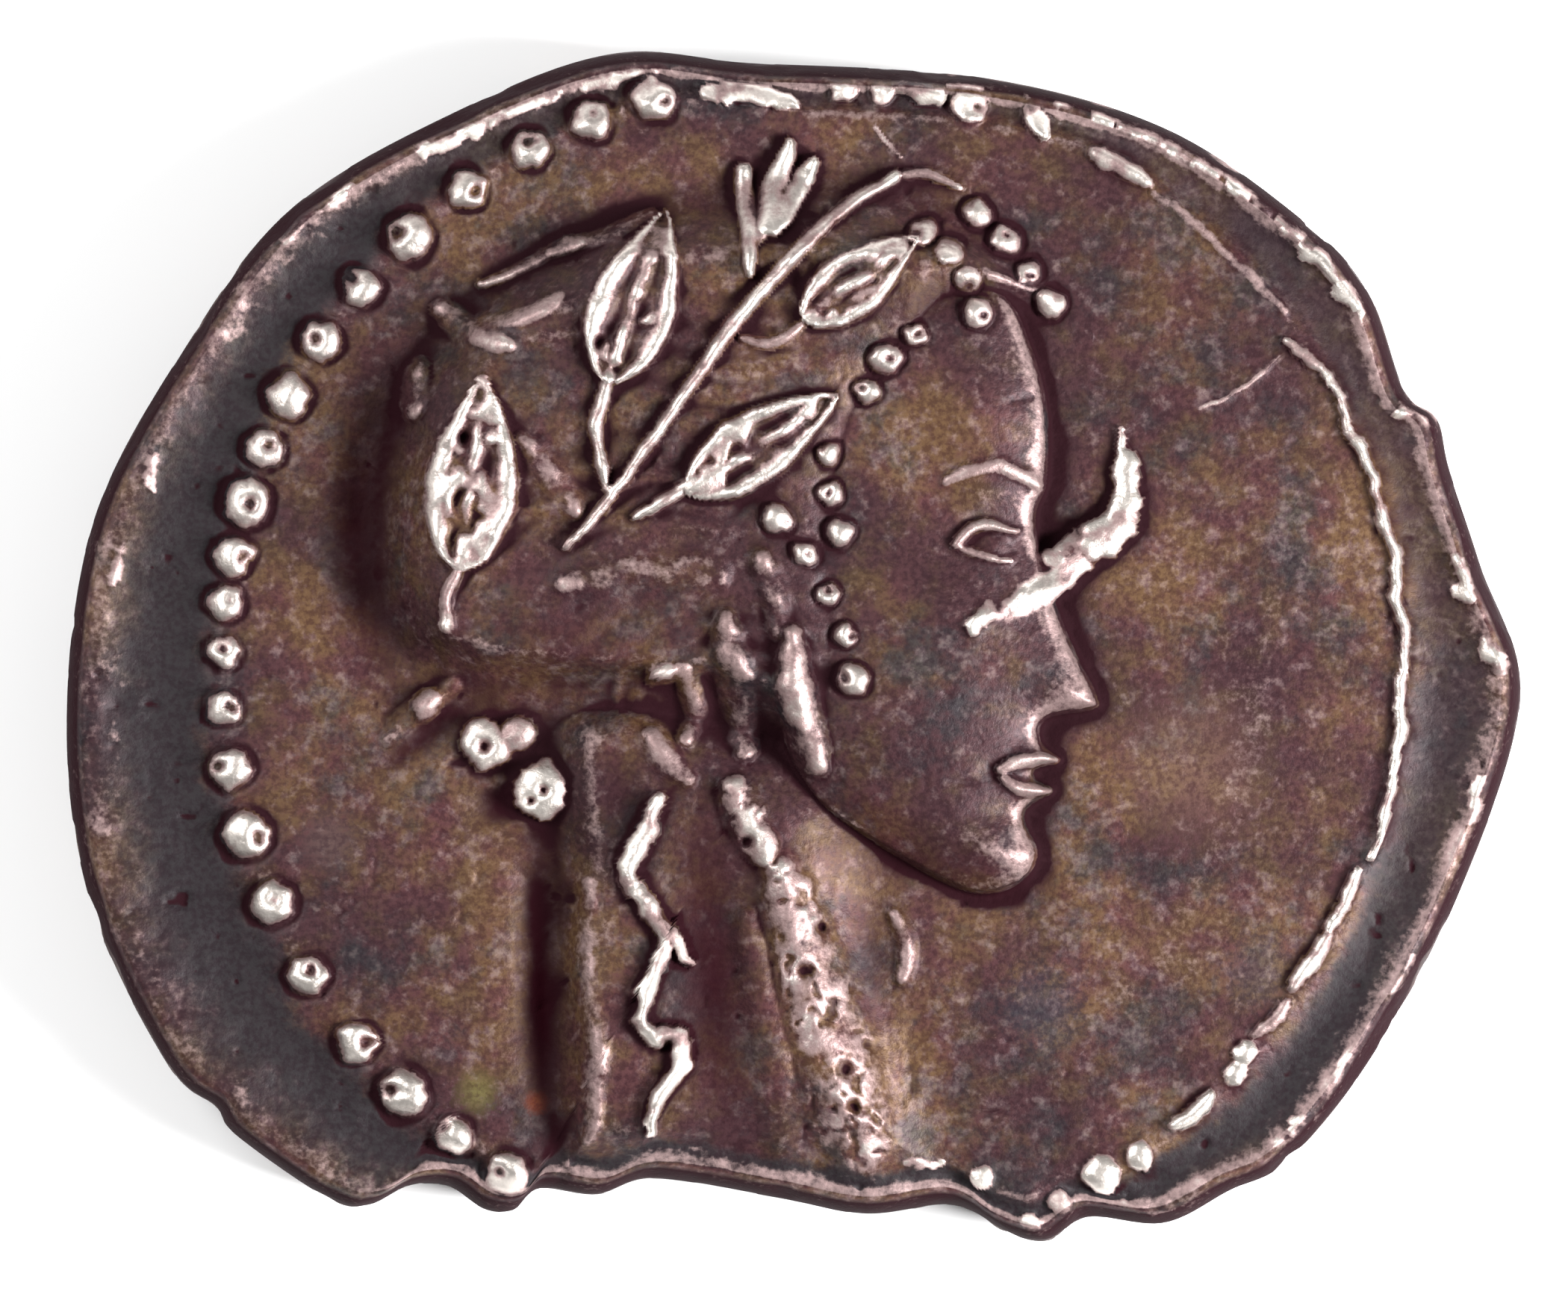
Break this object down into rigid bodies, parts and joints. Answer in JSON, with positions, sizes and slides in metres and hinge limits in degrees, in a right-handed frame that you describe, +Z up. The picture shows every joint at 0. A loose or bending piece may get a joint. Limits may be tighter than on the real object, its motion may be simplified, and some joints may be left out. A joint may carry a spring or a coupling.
{
  "type": "ancient greek coin",
  "caption": "Hand-struck silver coin with an irregular flan: a wreathed head in profile within a border of dots, and a bunch of grapes in a square punch on the back.",
  "frame": {"origin": "middle of the flan's box, on the surface that the coin lies on", "axes": "+Z up from the underside through the head side, +Y towards the crown of the head, +X the way that the head faces"},
  "size_m": [0.027, 0.022, 0.005],
  "materials": {
    "toned_silver": "old silver with a dark purplish brown tone, slate grey in the trough, worn bright on the raised parts"
  },
  "bodies": {
    "root": {"coin": "toned_silver"}
  },
  "joints": []
}
